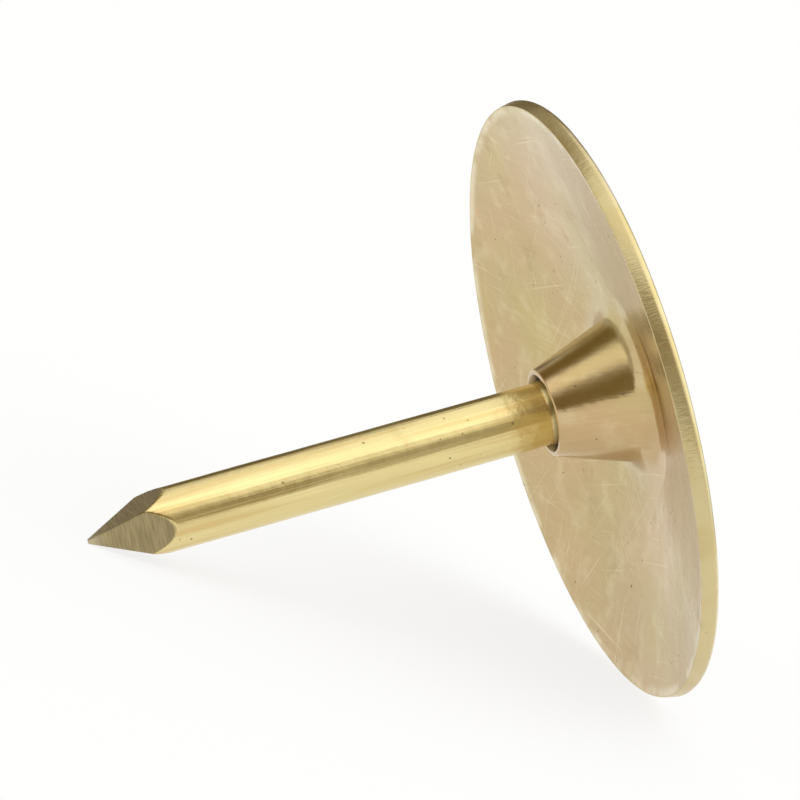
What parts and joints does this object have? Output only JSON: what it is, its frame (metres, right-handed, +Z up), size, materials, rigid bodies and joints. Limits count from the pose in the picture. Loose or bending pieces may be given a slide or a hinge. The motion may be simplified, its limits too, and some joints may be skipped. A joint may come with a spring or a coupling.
{
  "type": "thumb tack",
  "caption": "Thumb tack: a shallow dished round cap whose drawn collar holds a pointed wire pin, pushed by thumb to pin paper to a board.",
  "frame": {"origin": "on the table under the middle of the bounding box, with the tack lying on its rim and its tip", "axes": "+Z up from the table; the tack's axis lies in the XZ plane, with the point at -X on the table and the cap at +X"},
  "size_m": [0.0094, 0.0094, 0.0083],
  "materials": {
    "cap_plating": "brass plating on stamped steel sheet, satin bright",
    "pin_plating": "brass plating on drawn steel wire, satin bright, paler on the cut point"
  },
  "bodies": {
    "root": {"cap": "cap_plating", "pin": "pin_plating"}
  },
  "joints": []
}
